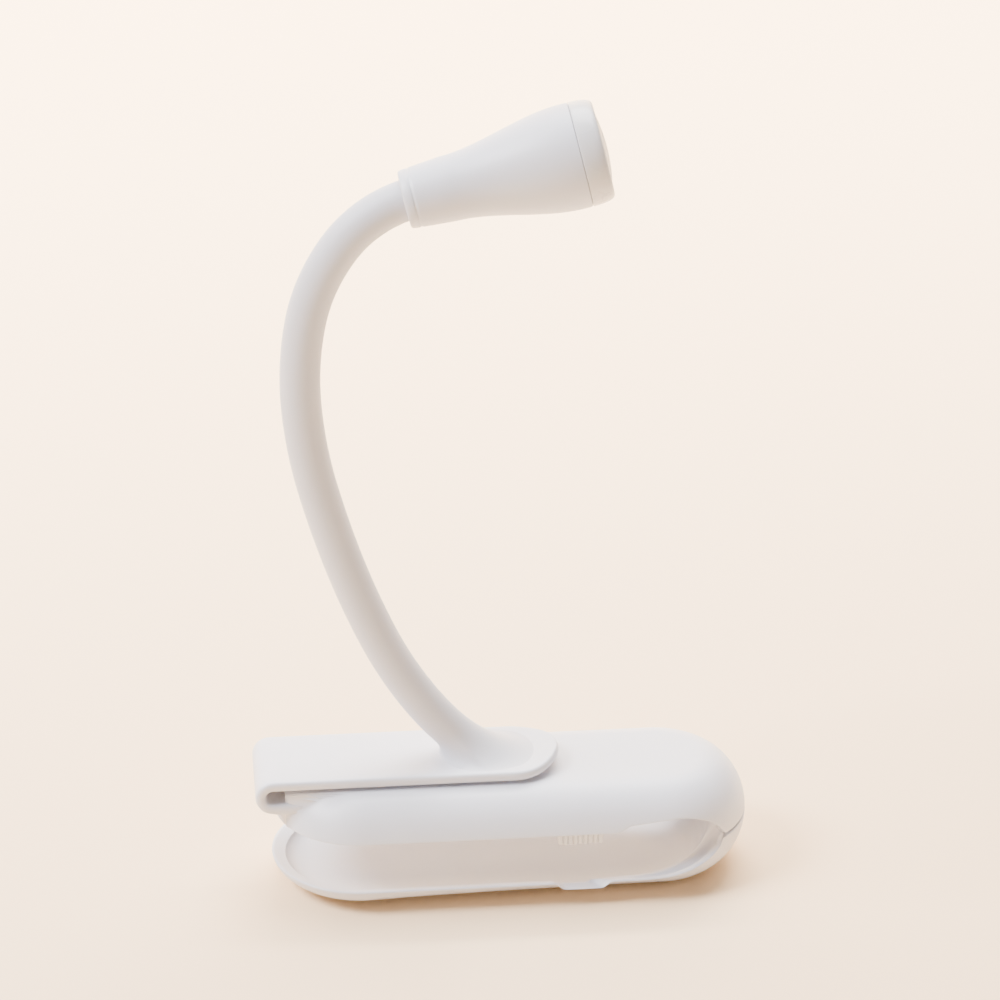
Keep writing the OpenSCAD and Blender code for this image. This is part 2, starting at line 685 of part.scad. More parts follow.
spigot_l = 3.4;
module head_bezel() color("whitesmoke") {
    lip = 1;
    on_head(bell_end + 0.15) difference() {
        rotate_extrude($fn = 64) polygon([[head_front_r - 2.6, -spigot_l],
            [bell_r(1 - spigot_l / bell_end) - head_wall - fit_gap, -spigot_l],
            [head_front_r - head_wall - fit_gap, 0],
            [head_front_r, 0], [head_front_r, bezel_l - 1.6], [head_front_r - 0.25, bezel_l - 0.7],
            [head_front_r - lip, bezel_l - 0.15], [head_front_r - 2, bezel_l - 0.15],
            [head_front_r - 2, bezel_l - 2], [head_front_r - 2.6, bezel_l - 2]]);
    }
}

module head_lens() color("azure") {
    r = head_front_r - 2 - 0.05;
    on_head(head_l - lens_in) rotate_extrude($fn = 64) polygon(concat([[0, 0], [r, 0]],
        [for (i = [6:-1:0]) let (q = i / 6) [r * q, lens_t + lens_dome * (1 - q * q)]]));
}

module reflector() color("silver") {
    r1 = head_front_r - 2.75;
    r0 = 3;
    wall = 0.6;
    cup = [for (i = [0:8]) let (t = i / 8) [r0 + (r1 - r0) * sqrt(t), reflector_l * t]];
    on_head(bell_end - reflector_in) rotate_extrude($fn = 64)
        polygon(concat(cup, [for (i = [8:-1:0]) cup[i] - [wall, 0]]));
}

module led_board() color("seagreen") {
    on_head(bell_end - reflector_in - led_board_t - 0.5) difference() {
        cylinder(r = 6, h = led_board_t);
        for (s = [-1, 1]) translate([4.2 * s, 0, -1]) cylinder(r = 0.6, h = 4);
    }
}

module led_emitter() color("gold") {
    on_head(bell_end - reflector_in - 0.5) {
        translate([-1.6, -1.6, 0]) cube([3.2, 3.2, 0.7]);
        translate([0, 0, 0.69]) difference() {
            sphere(r = 1.3, $fn = 32);
            translate([-2, -2, -4]) cube([4, 4, 4]);
        }
    }
}

module head_ferrule() color("silver") {
    on_head(head_in + 0.15) difference() {
        cylinder(r = core_r + 0.9, h = 3.4);
        translate([0, 0, -1]) cylinder(r = wire_pitch + wire_r, h = 6);
    }
}

jaw_tray();
jaw_spring();
hinge_pin();
housing_shell();
housing_cover();
battery_door();
button_cells();
cell_contact_top();
cell_contact_springs();
circuit_board();
switch_body();
cover_screws();
door_screw();
clip_root();
clip_bend();
clip_tongue();
switch_knob();
neck_anchor();
neck_root();
neck_sleeve(1);  // neck_sleeve_1
neck_sleeve(2);  // neck_sleeve_2
neck_sleeve(3);  // neck_sleeve_3
neck_sleeve(4);  // neck_sleeve_4
neck_sleeve(5);  // neck_sleeve_5
neck_sleeve(6);  // neck_sleeve_6
neck_sleeve(7);  // neck_sleeve_7
neck_core();
lead_wires();
head_ferrule();
head_shell();
head_bezel();
head_lens();
reflector();
led_board();
led_emitter();
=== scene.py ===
# %% [markdown]
# # A clip-on reading lamp
# The lamp is a sprung jaw, a housing with a flat belt clip on its back, a gooseneck and a bell-shaped
# head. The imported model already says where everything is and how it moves. This lesson gives each
# visible part a smooth moulded skin and a finish, and never moves what the model has placed.

# %% The frame
import json
import math
import bmesh
import bpy
from mathutils import Matrix, Vector


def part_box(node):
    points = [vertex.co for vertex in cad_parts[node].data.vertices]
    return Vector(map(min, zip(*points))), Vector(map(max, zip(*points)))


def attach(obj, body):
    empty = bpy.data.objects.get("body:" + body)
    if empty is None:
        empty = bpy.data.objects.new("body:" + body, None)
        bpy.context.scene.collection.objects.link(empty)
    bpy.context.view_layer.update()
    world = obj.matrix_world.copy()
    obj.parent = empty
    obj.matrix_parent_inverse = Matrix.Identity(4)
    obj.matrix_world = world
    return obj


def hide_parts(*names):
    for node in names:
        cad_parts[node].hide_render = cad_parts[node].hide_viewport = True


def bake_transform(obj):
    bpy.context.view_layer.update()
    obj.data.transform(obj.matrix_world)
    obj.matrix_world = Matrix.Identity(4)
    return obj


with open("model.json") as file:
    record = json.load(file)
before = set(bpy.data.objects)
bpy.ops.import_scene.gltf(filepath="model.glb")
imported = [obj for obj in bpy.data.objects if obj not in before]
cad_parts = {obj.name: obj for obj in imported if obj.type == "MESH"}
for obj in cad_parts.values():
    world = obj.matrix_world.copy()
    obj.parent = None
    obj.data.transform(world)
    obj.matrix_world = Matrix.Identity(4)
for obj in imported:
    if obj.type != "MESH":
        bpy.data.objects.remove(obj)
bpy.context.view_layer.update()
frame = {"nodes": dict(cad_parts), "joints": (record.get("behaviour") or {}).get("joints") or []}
MM = 0.001
JOINTS = {joint["name"]: joint for joint in frame["joints"]}

# %% [markdown]
# ## Sizes
# Blender works in metres here, but a small moulding is easier to think about in millimetres. Every
# length below is in millimetres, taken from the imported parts, and the mesh helper scales it once.


# %% Sizes read from the parts
def corners(node):
    low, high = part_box(node)
    return [v / MM for v in low], [v / MM for v in high]


def joint_at(name):
    return Vector(JOINTS[name]["pos_m"]) / MM


TRAY_HIGH = corners("jaw_tray")[1]
CLIP_LOW, CLIP_HIGH = corners("clip_tongue")
HALF_L, HALF_W = TRAY_HIGH[0], TRAY_HIGH[1]
END_X = HALF_L - HALF_W
HINGE_X, SEAM_Z = joint_at("jaw_hinge")[0], joint_at("jaw_hinge")[2]
BEND_X, BEND_Z = joint_at("clip_flex")[0], joint_at("clip_flex")[2]
TOP_Z = corners("housing_shell")[1][2]
print(f"base {2 * HALF_L:.1f} x {2 * HALF_W:.1f} mm, hinge at X {HINGE_X:.1f}, housing top at {TOP_Z:.1f}")

# %% Sizes of the mouldings
RIM_Z = 5.4             # rim of the lower jaw
EDGE_Z = 15.6           # lower edge of the housing
WALL = 1.5              # both shells
RIM_W = 2.6             # slanted rim inside the jaw's edge
ARCH_X = HALF_L - 27.4  # where the housing's edge steps up
ARCH_RUN = 3.4
ARCH_RISE, ARCH_LIP = 2.1, 1.3  # the whole rise, and how much of it is in the step
MOUTH_END = HINGE_X - 1.6
SEAM_GAP = 0.5          # between the two shells at the hinge end
LOW_RUN, HIGH_RUN = 17.5, 10.0  # how far each curve of the mouth runs before it rounds up
NOTCH_X, NOTCH_L, NOTCH_D = 13.0, 11.2, 1.5
DOME_R, KEEL_R = 9.5, 12.0      # how far the two shells' round shoulders reach inwards
DISH_HUB = MOUTH_END - HALF_W + RIM_W - 1.1  # centre of the dish's end at the hinge


# %% [markdown]
# ## Building with rings
# Most of these mouldings are a stack of closed outlines, one above the other. Joining each ring to
# the next with quads gives an even mesh that shades without pinches. A skin is always closed, so that
# it has a real wall and its normals can be worked out.


# %% Helpers for meshes
def make_piece(name, points, faces, sharp=35):
    mesh = bpy.data.meshes.new(name)
    mesh.from_pydata([Vector(p) * MM for p in points], [], faces)
    work = bmesh.new()
    work.from_mesh(mesh)
    bmesh.ops.remove_doubles(work, verts=work.verts, dist=0.002 * MM)
    bmesh.ops.dissolve_degenerate(work, edges=work.edges, dist=0.001 * MM)
    bmesh.ops.recalc_face_normals(work, faces=work.faces)
    for edge in work.edges:
        edge.smooth = len(edge.link_faces) == 2 and edge.calc_face_angle(0) < math.radians(sharp)
    for face in work.faces:
        face.smooth = True
    work.to_mesh(mesh)
    work.free()
    piece = bpy.data.objects.new(name, mesh)
    bpy.context.scene.collection.objects.link(piece)
    return piece


def loft(name, rings, sharp=35, closed=True, wrap=False):
    """Quads between rings of equally many points. wrap joins the last ring to the first."""
    count = len(rings[0])
    points = [p for ring in rings for p in ring]
    faces = []
    pairs = [(i, i + 1) for i in range(len(rings) - 1)] + ([(len(rings) - 1, 0)] if wrap else [])
    for low, high in pairs:
        for k in range(count):
            nxt = (k + 1) % count
            faces.append([low * count + k, low * count + nxt, high * count + nxt, high * count + k])
    if closed and not wrap:
        faces.append(list(range(count))[::-1])
        faces.append([(len(rings) - 1) * count + k for k in range(count)])
    return make_piece(name, points, faces, sharp)


def dress(piece, body, finish, nodes=()):
    piece.data.materials.clear()
    piece.data.materials.append(finish)
    if body:
        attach(piece, body)
    if nodes:
        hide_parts(*nodes)
    print(f"{piece.name}: {len(piece.data.polygons)} faces, {'rides ' + body if body else 'blended'}")


def smooth_step(t):
    t = min(1.0, max(0.0, t))
    return t * t * (3 - 2 * t)


def mix(a, b, t):
    return a + (b - a) * t


# %% [markdown]
# ## The round-ended outline
# Both shells are a stadium in plan. The outline is sampled at the same angles for every ring, with
# extra samples where the finger notch and the housing's step begin, so that their corners stay crisp.


# %% The outline's samples
def spread(a, b, n):
    return [a + (b - a) * i / n for i in range(n)]


def plan_samples():
    """Each sample is ("right", angle), ("left", angle) or ("side", x, +1 or -1), going round once."""
    meet = math.degrees(math.acos((MOUTH_END - END_X) / HALF_W))
    right = spread(-90, -meet, 16) + spread(-meet, meet, 34) + spread(meet, 90, 16)
    left = spread(90, 270, 64)
    marks = [NOTCH_X + s * (NOTCH_L / 2 - d) for s in (-1, 1) for d in (-0.5, 0, 0.5, 1.2, 1.8)]
    marks += [ARCH_X + ARCH_RUN * t / 8 for t in range(9)] + [ARCH_X + ARCH_RUN + d for d in (1, 2.4, 4)]
    xs = sorted(set(round(x, 3) for x in spread(-END_X, END_X, 40)[1:] + marks if abs(x) < END_X - 0.05))
    xs = [x for i, x in enumerate(xs) if i == 0 or x - xs[i - 1] > 0.12]
    path = [("right", a) for a in right] + [("side", x, 1) for x in [END_X] + xs[::-1]]
    path += [("left", a) for a in left] + [("side", x, -1) for x in [-END_X] + xs]
    return path


PLAN = plan_samples()
print("outline samples:", len(PLAN))


def plan_point(sample, inset, right_hub=END_X):
    """Place in plan of a sample on the outline drawn in by inset."""
    r = HALF_W - inset
    if sample[0] == "side":
        x = sample[1]
        if x > 0:
            x *= right_hub / END_X
        return x, sample[2] * r
    a = math.radians(sample[1])
    hub = right_hub if sample[0] == "right" else -END_X
    return hub + r * math.cos(a), r * math.sin(a)


# %% [markdown]
# ## The mouth
# A book edge goes between the two shells. In side view the lower edge is flat and then sweeps up an
# ellipse to the hinge, and the upper edge steps up into an arch. Both shells read their edges from
# these two curves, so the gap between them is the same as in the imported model.


# %% The mouth's two curves
def low_curve(x):
    t = (x - (MOUTH_END - LOW_RUN)) / LOW_RUN
    if t <= 0:
        return RIM_Z
    if t >= 1:
        return SEAM_Z - SEAM_GAP / 2
    return min(SEAM_Z - (SEAM_Z - RIM_Z) * math.sqrt(1 - t * t), SEAM_Z - SEAM_GAP / 2)


def high_curve(x):
    top = EDGE_Z + ARCH_RISE
    if x >= MOUTH_END:
        return SEAM_Z + SEAM_GAP / 2
    t = (x - (MOUTH_END - HIGH_RUN)) / HIGH_RUN
    if t > 0:
        return max(SEAM_Z + (top - SEAM_Z) * math.sqrt(1 - t * t), SEAM_Z + SEAM_GAP / 2)
    s = min(1, max(0, (x - ARCH_X) / ARCH_RUN))
    climb = max(0, (x - ARCH_X - ARCH_RUN) / (MOUTH_END - HIGH_RUN - ARCH_X - ARCH_RUN))
    return EDGE_Z + ARCH_LIP * (1 - math.cos(math.pi * s)) / 2 + (ARCH_RISE - ARCH_LIP) * climb


def notch(x, y):
    """How far the finger notch cuts down the front rim."""
    if y > 0:
        return 0
    return NOTCH_D * smooth_step((NOTCH_L / 2 + 0.3 - abs(x - NOTCH_X)) / 2.4)


# %% [markdown]
# ## Finishes
# The lamp is one family of cool white plastics. What tells them apart is how the surface is broken up:
# the shells are spark-eroded satin, the sleeve is soft and matte, the bezel a little glossier. Three
# effects are shared, so each is a node group: a slow unevenness of tone, a fine moulded grain, and dust
# that settles on what faces up.


# %% Node groups
def new_group(name, inputs, outputs):
    tree = bpy.data.node_groups.new(name, "ShaderNodeTree")
    for label, kind, value in inputs:
        socket = tree.interface.new_socket(label, in_out="INPUT", socket_type=kind)
        socket.default_value = value
    for label, kind in outputs:
        tree.interface.new_socket(label, in_out="OUTPUT", socket_type=kind)
    return tree, tree.nodes.new("NodeGroupInput"), tree.nodes.new("NodeGroupOutput")


def mathnode(tree, operation, a, b, clamp=False):
    node = tree.nodes.new("ShaderNodeMath")
    node.operation = operation
    node.use_clamp = clamp
    for i, value in enumerate((a, b)):
        if isinstance(value, (int, float)):
            node.inputs[i].default_value = value
        else:
            tree.links.new(value, node.inputs[i])
    return node.outputs[0]


def colour_mix(tree, factor, a, b):
    node = tree.nodes.new("ShaderNodeMix")
    node.data_type = "RGBA"
    tree.links.new(factor, node.inputs["Factor"])
    for socket, value in ((node.inputs[6], a), (node.inputs[7], b)):
        if isinstance(value, tuple):
            socket.default_value = value
        else:
            tree.links.new(value, socket)
    return node.outputs[2]


def noise(tree, scale, detail, rough=0.5):
    place = tree.nodes.new("ShaderNodeTexCoord")
    node = tree.nodes.new("ShaderNodeTexNoise")
    tree.links.new(place.outputs["Object"], node.inputs["Vector"])
    if isinstance(scale, (int, float)):
        node.inputs["Scale"].default_value = scale
    else:
        tree.links.new(scale, node.inputs["Scale"])
    node.inputs["Detail"].default_value = detail
    node.inputs["Roughness"].default_value = rough
    return node.outputs["Fac"]


def build_tone_group():
    tree, given, out = new_group(
        "uneven_tone",
        [("Base", "NodeSocketColor", (0.8, 0.8, 0.82, 1)), ("Deep", "NodeSocketColor", (0.7, 0.7, 0.74, 1)),
         ("Amount", "NodeSocketFloat", 0.3), ("Scale", "NodeSocketFloat", 60.0)],
        [("Color", "NodeSocketColor"), ("Mask", "NodeSocketFloat")])
    cloud = noise(tree, given.outputs["Scale"], 5, 0.6)
    spread_out = mathnode(tree, "MULTIPLY", mathnode(tree, "SUBTRACT", cloud, 0.38, True), 3.2, True)
    mask = mathnode(tree, "MULTIPLY", spread_out, given.outputs["Amount"])
    mixed = colour_mix(tree, mask, given.outputs["Base"], given.outputs["Deep"])
    tree.links.new(mixed, out.inputs["Color"])
    tree.links.new(mask, out.inputs["Mask"])
    return tree


def build_grain_group():
    tree, given, out = new_group(
        "moulded_grain",
        [("Scale", "NodeSocketFloat", 3200.0), ("Roughness", "NodeSocketFloat", 0.4),
         ("Swing", "NodeSocketFloat", 0.1)],
        [("Height", "NodeSocketFloat"), ("Roughness", "NodeSocketFloat")])
    fine = noise(tree, given.outputs["Scale"], 3, 0.65)
    coarse = noise(tree, 180.0, 4, 0.6)
    height = mathnode(tree, "ADD", fine, mathnode(tree, "MULTIPLY", coarse, 0.6))
    tree.links.new(height, out.inputs["Height"])
    swing = mathnode(tree, "MULTIPLY", mathnode(tree, "SUBTRACT", coarse, 0.5), given.outputs["Swing"])
    rough = mathnode(tree, "ADD", swing, given.outputs["Roughness"], True)
    tree.links.new(rough, out.inputs["Roughness"])
    return tree


DUST_COLOUR = (0.52, 0.49, 0.45, 1)


def build_dust_group():
    tree, given, out = new_group(
        "settled_dust",
        [("Color", "NodeSocketColor", (0.8, 0.8, 0.8, 1)), ("Amount", "NodeSocketFloat", 0.1)],
        [("Color", "NodeSocketColor")])
    shape = tree.nodes.new("ShaderNodeNewGeometry")
    split = tree.nodes.new("ShaderNodeSeparateXYZ")
    tree.links.new(shape.outputs["Normal"], split.inputs[0])
    up = mathnode(tree, "MULTIPLY", mathnode(tree, "SUBTRACT", split.outputs["Z"], 0.55, True), 2.2, True)
    crumbs = mathnode(tree, "SUBTRACT", noise(tree, 900.0, 6, 0.75), 0.55, True)
    specks = mathnode(tree, "MULTIPLY", crumbs, 6, True)
    mask = mathnode(tree, "MULTIPLY", mathnode(tree, "MULTIPLY", up, specks), given.outputs["Amount"])
    dusted = colour_mix(tree, mask, given.outputs["Color"], DUST_COLOUR)
    tree.links.new(dusted, out.inputs["Color"])
    return tree


TONE, GRAIN, DUST = build_tone_group(), build_grain_group(), build_dust_group()
print("groups:", [g.name for g in (TONE, GRAIN, DUST)])


# %% One recipe for the moulded plastics
def place_group(tree, group, **values):
    node = tree.nodes.new("ShaderNodeGroup")
    node.node_tree = group
    for label, value in values.items():
        node.inputs[label.replace("_", " ")].default_value = value
    return node


def plain_shader(name):
    material = bpy.data.materials.new(name)
    material.use_nodes = True
    tree = material.node_tree
    return material, tree, tree.nodes["Principled BSDF"]


def bump(tree, shader, height, strength, depth_mm):
    node = tree.nodes.new("ShaderNodeBump")
    node.inputs["Strength"].default_value = strength
    node.inputs["Distance"].default_value = depth_mm * MM
    tree.links.new(height, node.inputs["Height"])
    tree.links.new(node.outputs["Normal"], shader.inputs["Normal"])


def plastic(name, base, deep, rough, grain_mm, depth_mm, uneven=0.35, dust=0.12, soft=0.0, coat=0.0):
    material, tree, shader = plain_shader(name)
    tone = place_group(tree, TONE, Base=(*base, 1), Deep=(*deep, 1), Amount=uneven, Scale=55.0)
    grain = place_group(tree, GRAIN, Scale=1000 / grain_mm, Roughness=rough, Swing=0.16)
    film = place_group(tree, DUST, Amount=dust)
    tree.links.new(tone.outputs["Color"], film.inputs["Color"])
    tree.links.new(film.outputs["Color"], shader.inputs["Base Color"])
    tree.links.new(grain.outputs["Roughness"], shader.inputs["Roughness"])
    shader.inputs["Subsurface Weight"].default_value = soft
    shader.inputs["Subsurface Radius"].default_value = (0.0012, 0.0010, 0.0009)
    shader.inputs["Coat Weight"].default_value = coat
    shader.inputs["Coat Roughness"].default_value = 0.25
    bump(tree, shader, grain.outputs["Height"], 0.35, depth_mm)
    return material


SHELL = plastic("satin_shell", (0.68, 0.69, 0.76), (0.63, 0.635, 0.70), 0.42, 0.28, 0.02)
SLEEVE = plastic("soft_sleeve", (0.60, 0.605, 0.665), (0.55, 0.555, 0.61), 0.56, 0.35, 0.025, soft=0.1)
RING = plastic("bezel_gloss", (0.68, 0.675, 0.70), (0.63, 0.63, 0.655), 0.28, 0.4, 0.01, coat=0.2)
KNOB = plastic("knob_satin", (0.80, 0.80, 0.83), (0.72, 0.72, 0.75), 0.38, 0.25, 0.02)
BLACK = plastic("switch_nylon", (0.035, 0.035, 0.04), (0.06, 0.06, 0.065), 0.45, 0.3, 0.03)
RED = plastic("wire_red", (0.55, 0.03, 0.03), (0.42, 0.02, 0.02), 0.4, 0.2, 0.01, dust=0.0)


# %% [markdown]
# ## Metals, board and lens
# Drawn and stamped metal has streaks along the way that it was worked. Stretching a noise texture
# along one axis makes them. The board is a green resist with a faint weave, and the lens is frosted,
# so it is part rough and part clear.


# %% Metals
def metal(name, colour, rough, stretch=(40, 40, 2500), swing=0.2):
    material, tree, shader = plain_shader(name)
    place = tree.nodes.new("ShaderNodeTexCoord")
    turn = tree.nodes.new("ShaderNodeMapping")
    turn.inputs["Scale"].default_value = stretch
    streak = tree.nodes.new("ShaderNodeTexNoise")
    streak.inputs["Scale"].default_value = 1.0
    streak.inputs["Detail"].default_value = 4
    tree.links.new(place.outputs["Object"], turn.inputs["Vector"])
    tree.links.new(turn.outputs["Vector"], streak.inputs["Vector"])
    tone = place_group(tree, TONE, Base=(*colour, 1), Deep=tuple(c * 0.8 for c in colour) + (1,),
                       Amount=0.5, Scale=120.0)
    tree.links.new(tone.outputs["Color"], shader.inputs["Base Color"])
    shader.inputs["Metallic"].default_value = 1.0
    swung = mathnode(tree, "MULTIPLY", mathnode(tree, "SUBTRACT", streak.outputs["Fac"], 0.5), swing)
    tree.links.new(mathnode(tree, "ADD", swung, rough, True), shader.inputs["Roughness"])
    bump(tree, shader, streak.outputs["Fac"], 0.25, 0.01)
    return material


STEEL = metal("zinc_steel", (0.62, 0.62, 0.61), 0.32)
SPRING = metal("spring_wire", (0.48, 0.48, 0.49), 0.3, (900, 900, 900))
CELL = metal("cell_can", (0.74, 0.73, 0.71), 0.22, (60, 2200, 60))
STRIP = metal("nickel_strip", (0.76, 0.72, 0.62), 0.25, (60, 2000, 60))
MIRROR = metal("reflector_film", (0.90, 0.91, 0.92), 0.08, (300, 300, 300), 0.06)


# %% Board, phosphor and lens
def board():
    material, tree, shader = plain_shader("green_board")
    weave = tree.nodes.new("ShaderNodeTexBrick")
    weave.inputs["Scale"].default_value = 900.0
    weave.inputs["Color1"].default_value = (0.02, 0.16, 0.07, 1)
    weave.inputs["Color2"].default_value = (0.025, 0.19, 0.085, 1)
    weave.inputs["Mortar"].default_value = (0.015, 0.12, 0.05, 1)
    place = tree.nodes.new("ShaderNodeTexCoord")
    tree.links.new(place.outputs["Object"], weave.inputs["Vector"])
    tree.links.new(weave.outputs["Color"], shader.inputs["Base Color"])
    shader.inputs["Roughness"].default_value = 0.3
    bump(tree, shader, weave.outputs["Fac"], 0.2, 0.02)
    return material


def phosphor():
    material, tree, shader = plain_shader("led_phosphor")
    tone = place_group(tree, TONE, Base=(0.90, 0.66, 0.12, 1), Deep=(0.80, 0.50, 0.06, 1),
                       Amount=0.8, Scale=2500.0)
    tree.links.new(tone.outputs["Color"], shader.inputs["Base Color"])
    grain = place_group(tree, GRAIN, Scale=6000.0, Roughness=0.25, Swing=0.1)
    tree.links.new(grain.outputs["Roughness"], shader.inputs["Roughness"])
    bump(tree, shader, grain.outputs["Height"], 0.3, 0.02)
    return material


def frosted():
    material, tree, shader = plain_shader("frosted_lens")
    tone = place_group(tree, TONE, Base=(0.90, 0.90, 0.92, 1), Deep=(0.84, 0.84, 0.88, 1),
                       Amount=0.4, Scale=90.0)
    grain = place_group(tree, GRAIN, Scale=4500.0, Roughness=0.42, Swing=0.1)
    tree.links.new(tone.outputs["Color"], shader.inputs["Base Color"])
    tree.links.new(grain.outputs["Roughness"], shader.inputs["Roughness"])
    shader.inputs["Transmission Weight"].default_value = 0.55
    shader.inputs["IOR"].default_value = 1.49
    bump(tree, shader, grain.outputs["Height"], 0.4, 0.03)
    return material


BOARD, PHOSPHOR, LENS = board(), phosphor(), frosted()
print("finishes:", len(bpy.data.materials))


# %% [markdown]
# ## The lower jaw
# On the real lamp this is one boat-shaped moulding: a round keel that flattens to a foot, a thin
# edge, a slanted rim just inside it and a smooth dish. Lofting rings from the foot, up the outside,
# over the rim and down into the dish gives all of it in a single closed skin. The keel gets deeper
# towards the hinge, because the jaw's edge climbs there.


# %% Rings of the lower jaw
def tray_z(sample):
    return low_curve(plan_point(sample, 0)[0])


def along(sample):
    """0 at the jaw's tip and its left end, 1 at the hinge end."""
    if sample[0] == "side":
        return (sample[1] + END_X) / (2 * END_X)
    return 1.0 if sample[0] == "right" else 0.0


def keel_ring(height_share):
    """A ring on the outside of the jaw, at a share of the way from the foot to the edge."""
    ring = []
    for sample in PLAN:
        w = along(sample)
        deep = mix(RIM_Z, SEAM_Z - SEAM_GAP / 2, w)
        z = tray_z(sample) * height_share
        inset = mix(KEEL_R, KEEL_R - 2, w) * (1 - math.sqrt(max(0, 1 - (1 - z / deep) ** 2)))
        x, y = plan_point(sample, inset)
        ring.append((x, y, min(z, tray_z(sample) - notch(*plan_point(sample, 0)))))
    return ring


def rim_ring(inset, drop):
    """A ring on top of the jaw, drop below the mouth's lower curve."""
    ring = []
    pull = min(1.0, inset / RIM_W)
    hub = mix(END_X, DISH_HUB, pull)
    for sample in PLAN:
        x, y = plan_point(sample, inset, hub)
        fade = 1 - smooth_step((x - 14) / 18)
        z = low_curve(x) - drop * (fade if drop > 0.3 else 1)
        cut = notch(*plan_point(sample, 0))
        if cut:
            z = min(z, RIM_Z - cut + 0.02 * inset)
        ring.append((x, y, z))
    return ring


def dish_ring(t):
    """A ring on the wall of the dish, t from 0 at the rim to 1 on its floor."""
    a = math.radians(90 * t)
    inset = RIM_W + 9.0 * (1 - math.cos(a))
    hub = DISH_HUB
    ring = []
    for sample in PLAN:
        x = plan_point(sample, RIM_W, hub)[0]
        fade = 1 - smooth_step((x - 14) / 18)
        start = low_curve(x) - 0.8 * fade
        cut = notch(*plan_point(sample, 0))
        if cut:
            start = min(start, RIM_Z - cut + 0.06)
        px, py = plan_point(sample, inset, hub)
        ring.append((px, py, mix(start, WALL, math.sin(a))))
    return ring


def build_jaw():
    rings = [keel_ring(s) for s in (0.0, 0.006, 0.02, 0.045, 0.08, 0.13, 0.19, 0.27, 0.36, 0.46, 0.57,
                                    0.68, 0.79, 0.88, 0.94)]
    rings += [rim_ring(0.0, 0.22), rim_ring(0.03, 0.12), rim_ring(0.1, 0.04), rim_ring(0.22, 0.0)]
    rings += [rim_ring(0.5, 0.02), rim_ring(0.62, 0.06)]
    rings += [rim_ring(0.62 + (RIM_W - 0.8) * t, 0.06 + 0.74 * t) for t in (0.25, 0.5, 0.75, 0.95)]
    rings += [dish_ring(t) for t in (0.02, 0.08, 0.16, 0.26, 0.37, 0.49, 0.61, 0.73, 0.85, 0.95, 1.0)]
    return loft("lower_jaw", rings, 42)


dress(build_jaw(), "jaw", SHELL, ["jaw_tray"])


# %% [markdown]
# ## The housing
# The upper shell is a dome with flat sides near its edge and a large soft shoulder. Its lower edge
# steps up into the arch. The skin goes up the outside, and comes back down the inside as a wall, so
# from below it reads as a shell round the cover.


# %% Rings of the housing
def dome_inset(z, inner=0.0):
    height = TOP_Z - inner - SEAM_Z
    share = min(1.0, max(0.0, (z - SEAM_Z) / height))
    return inner + (DOME_R - inner) * (1 - math.sqrt(1 - share * share))


SHOULDER_W = corners("clip_root")[1][1]
SHOULDER_X = -END_X - math.sqrt(HALF_W ** 2 - SHOULDER_W ** 2)


def square_shoulder(x, y, inner):
    """Keeps the end full where the clip's root goes in, with a soft crease at each side."""
    fullness = smooth_step((SHOULDER_W + 0.1 - inner - abs(y)) / 0.9)
    return mix(x, min(x, SHOULDER_X + inner), fullness)


def dome_ring(share, inner=0.0, lift=0.0):
    """A ring of the shell, at a share of the way up from its edge. inner draws it in by the wall."""
    ring = []
    for sample in PLAN:
        edge = high_curve(plan_point(sample, 0.3)[0]) + lift
        z = mix(edge, TOP_Z - inner, share)
        x, y = plan_point(sample, dome_inset(z, inner))
        if sample[0] == "left":
            x = square_shoulder(x, y, inner)
        ring.append((x, y, z))
    return ring


def build_housing():
    out = [math.sin(math.radians(a)) for a in (3, 7, 13, 20, 28, 36, 44, 52, 60, 67, 74, 80, 85, 90)]
    rings = [dome_ring(s) for s in reversed(out)]
    rings += [dome_ring(0, 0, 0.2), dome_ring(0, 0.06, 0.07), dome_ring(0, 0.2, 0.0)]
    rings += [dome_ring(0, 0.5, 0.0), dome_ring(0, WALL - 0.3, 0.0), dome_ring(0, WALL, 0.2)]
    rings += [dome_ring(s, WALL) for s in out]
    return loft("housing_skin", rings, 42)


housing = build_housing()
dress(housing, "housing", SHELL, ["housing_shell"])


# %% [markdown]
# ## The hinge barrels
# Two barrels of the jaw and two lugs of the housing turn on one steel pin. They are turned profiles
# with chamfered ends, so a lathe that spins a profile round an axis makes them all. The same lathe
# makes the head later.


# %% A lathe
def lathe(name, profile, place, steps=96, sharp=30, ring=False):
    """Spins (distance along the axis, radius) points. place turns the axis +Z and moves it."""
    angles = [2 * math.pi * k / steps for k in range(steps)]
    rings = [[place @ Vector((r * math.cos(a), r * math.sin(a), s)) for a in angles] for s, r in profile]
    return loft(name, rings, sharp, wrap=ring)


def along_y(x, y, z):
    return Matrix.Translation((x, y, z)) @ Matrix.Rotation(math.radians(-90), 4, "X")


def barrel(name, y0, y1, radius, bore):
    c = 0.2
    profile = [(0, bore), (0, radius - c), (c, radius), (y1 - y0 - c, radius), (y1 - y0, radius - c),
               (y1 - y0, bore)]
    return lathe(name, profile, along_y(HINGE_X, y0, SEAM_Z), 40, ring=True)


for side in (-1, 1):
    tag = "near" if side < 0 else "far"
    y0, y1 = sorted((side * 2.2, side * 4.6))
    dress(barrel(f"jaw_barrel_{tag}", y0, y1, 1.7, 0.79), "jaw", SHELL)
    y0, y1 = sorted((side * 4.9, side * 7.1))
    dress(barrel(f"housing_barrel_{tag}", y0, y1, 1.7, 0.77), "housing", SHELL)
